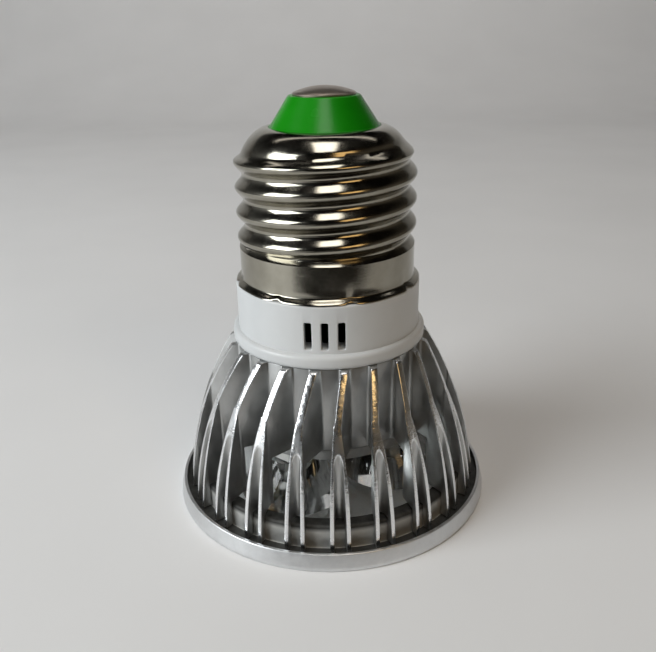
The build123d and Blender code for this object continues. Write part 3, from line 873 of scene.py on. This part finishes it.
stands_for(front_ring(), "bezel_ring", satin)
stands_for(lens(), "lens_plate", acrylic)
stands_for(led_domes(), "led_domes", silicone)
stands_for(drilled_disc("led_board", "board_disc"), "led_board", laminate)
stands_for(drilled_disc("thermal_pad", "pad_sheet"), "thermal_pad", pad_grey)
stands_for(softened_copy("heat_sink", "heat_sink_fins", FIN_EDGE), "heat_sink", aluminium)
stands_for(collar(), "collar", white)
stands_for(screw_shell(), "screw_shell", nickel_shell)
stands_for(insulator(), "base_insulator", green)
stands_for(centre_contact(), "centre_contact", nickel_contact)

# The pieces inside the lamp keep their CAD shapes and get only a finish
EPOXY = ((0.010, 0.010, 0.010), (0.022, 0.022, 0.022))
FERRITE = ((0.012, 0.012, 0.013), (0.03, 0.03, 0.032))
FINISH_OF_NODE = {
    "led_bodies": moulded("led_housing", (0.72, 0.72, 0.69), (0.80, 0.80, 0.77)),
    "driver_board": moulded("card_green", (0.02, 0.10, 0.03), (0.035, 0.14, 0.045)),
    "transformer_core": moulded("ferrite", *FERRITE, bright=0.55, dull=0.7),
    "transformer_coil": moulded("winding_tape", (0.65, 0.42, 0.03), (0.75, 0.52, 0.06)),
    "bridge_rectifier": moulded("black_epoxy", *EPOXY, bright=0.5, dull=0.6),
    "fuse_resistor": moulded("resistor_lacquer", (0.07, 0.22, 0.28), (0.10, 0.28, 0.34)),
    "live_lead": moulded("red_sleeve", (0.42, 0.01, 0.01), (0.52, 0.02, 0.015)),
    "neutral_lead": moulded("black_sleeve", (0.010, 0.010, 0.010), (0.02, 0.02, 0.02)),
    "input_capacitor": moulded("can_sleeve", (0.006, 0.008, 0.022), (0.012, 0.014, 0.035)),
    "board_screws": screw_steel(),
}
SAME_FINISH = {
    "controller_chip": "bridge_rectifier",
    "output_capacitor": "input_capacitor",
    "collar_screws": "board_screws",
    "led_lead_positive": "live_lead",
    "led_lead_negative": "neutral_lead",
}
for node, other in SAME_FINISH.items():
    FINISH_OF_NODE[node] = FINISH_OF_NODE[other]
for node, finish in FINISH_OF_NODE.items():
    nodes[node].data.materials.clear()
    nodes[node].data.materials.append(finish)


# Camera

def aim_camera():
    right = LOOK.cross(Vector((0, 0, 1))).normalized()
    up = right.cross(LOOK).normalized()
    side = cos(ROLL) * right + sin(ROLL) * up
    top = -sin(ROLL) * right + cos(ROLL) * up
    camera = bpy.data.cameras.new("photo_camera")
    camera.sensor_width = SENSOR_MM
    camera.lens = LENS_MM
    camera.clip_start = CLIP_START
    holder = bpy.data.objects.new("photo_camera", camera)
    scene.collection.objects.link(holder)
    turn = Matrix((side, top, -LOOK.normalized())).transposed()
    holder.matrix_world = Matrix.Translation(EYE) @ turn.to_4x4()
    scene.camera = holder


# Stage: pale floor with a cove behind it, and soft light

def pale_stage():
    clear_selection()
    bpy.ops.mesh.primitive_plane_add(size=FLOOR_SIZE, location=(0, FLOOR_SHIFT, 0))
    floor = bpy.context.object
    floor.name = "floor"
    bpy.ops.object.transform_apply(location=True, rotation=False, scale=False)
    for edge in floor.data.edges:
        edge.select = all(floor.data.vertices[index].co.y > 0 for index in edge.vertices)
    for vertex in floor.data.vertices:
        vertex.select = vertex.co.y > 0
    for face in floor.data.polygons:
        face.select = False
    bpy.ops.object.mode_set(mode="EDIT")
    bpy.ops.mesh.select_mode(type="EDGE")
    for i in range(COVE_STEPS):
        a0 = pi / 2 * i / COVE_STEPS
        a1 = pi / 2 * (i + 1) / COVE_STEPS
        step = (0, COVE_RADIUS * (sin(a1) - sin(a0)), COVE_RADIUS * (cos(a0) - cos(a1)))
        bpy.ops.mesh.extrude_region_move(TRANSFORM_OT_translate={"value": step})
    bpy.ops.mesh.extrude_region_move(TRANSFORM_OT_translate={"value": (0, 0, WALL_HEIGHT)})
    bpy.ops.object.mode_set(mode="OBJECT")
    smooth(floor, WALL_SMOOTH_ANGLE)
    finish, tree, shader = new_finish("pale_table", roughness=0.55)
    mottle = grain(tree, (0.02, 0.02, 0.02), detail=2)
    join(tree, shader, base_color=blend_colours(tree, mottle, (0.76, 0.765, 0.77), (0.79, 0.795, 0.80)))
    floor.data.materials.append(finish)
    # The bulb stands on its ring, so the floor stays under the ring while that is unscrewed
    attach(floor, nodes["lens_plate"]["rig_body"])


def dark_card():
    """Black card before the bulb, out of the picture, that gives bright metal its dark reflections."""
    clear_selection()
    bpy.ops.mesh.primitive_plane_add(size=1.0)
    card = bpy.context.object
    card.name = "dark_card"
    card.scale = (CARD_RIGHT - CARD_LEFT, CARD_DEPTH, 1)
    card.location = ((CARD_LEFT + CARD_RIGHT) / 2, CARD_EDGE - CARD_DEPTH / 2, CARD_HEIGHT)
    bpy.ops.object.transform_apply(location=True, rotation=False, scale=True)
    card.visible_camera = False
    card.visible_diffuse = False
    card.visible_shadow = False
    finish, _, _ = new_finish("black_card", base_color=(0.012, 0.011, 0.010, 1), roughness=0.9)
    card.data.materials.append(finish)


def from_bulb(azimuth, elevation, distance):
    """Place at a distance from the bulb's middle, by azimuth from the front and elevation."""
    a = radians(azimuth)
    e = radians(elevation)
    return BULB_MIDDLE + distance * Vector((cos(e) * sin(a), -cos(e) * cos(a), sin(e)))


def soft_light(name, place, aim, size, power, colour):
    light = bpy.data.lights.new(name, "AREA")
    light.shape = "RECTANGLE"
    light.size, light.size_y = size
    light.energy = power
    light.color = colour
    holder = bpy.data.objects.new(name, light)
    scene.collection.objects.link(holder)
    holder.location = place
    holder.rotation_euler = (aim - place).to_track_quat("-Z", "Y").to_euler()


def room_light():
    """Dim room: pale to the left, warmer to the right, dark between them and overhead."""
    world = bpy.data.worlds.new("room")
    scene.world = world
    world.use_nodes = True
    tree = world.node_tree
    direction = add(tree, "ShaderNodeTexCoord").outputs["Generated"]
    parts = add(tree, "ShaderNodeSeparateXYZ", {"Vector": direction})
    across = between(tree, parts.outputs["X"], 0.0, 1.0, -1.0, 1.0)
    walls = add(tree, "ShaderNodeValToRGB", {"Fac": across})
    ramp = walls.color_ramp
    ramp.elements[0].color = (0.18, 0.185, 0.185, 1)
    ramp.elements[1].color = (0.11, 0.095, 0.075, 1)
    for position in (0.32, 0.66):
        ramp.elements.new(position).color = (0.015, 0.0145, 0.013, 1)
    dim = between(tree, parts.outputs["Z"], 1.0, 0.06, 0.15, 0.65)
    background = tree.nodes["Background"]
    tree.links.new(walls.outputs["Color"], background.inputs["Color"])
    tree.links.new(dim, background.inputs["Strength"])


aim_camera()
scene.view_settings.view_transform = "Standard"
pale_stage()
dark_card()
room_light()
soft_light("window", from_bulb(-66, 28, 0.60), BULB_MIDDLE, (0.40, 0.36), 3.3, (0.94, 0.98, 1.0))
soft_light("ceiling", from_bulb(0, 77, 0.62), BULB_MIDDLE, (0.22, 0.36), 1.0, (1.0, 0.97, 0.93))
soft_light("lamp", from_bulb(32, 34, 0.60), BULB_MIDDLE, (0.26, 0.20), 0.32, (1.0, 0.65, 0.28))
soft_light("backdrop_light", BACKDROP_LIGHT, BACKDROP_AIM, (0.80, 0.20), 0.9, (1.0, 0.95, 0.91))
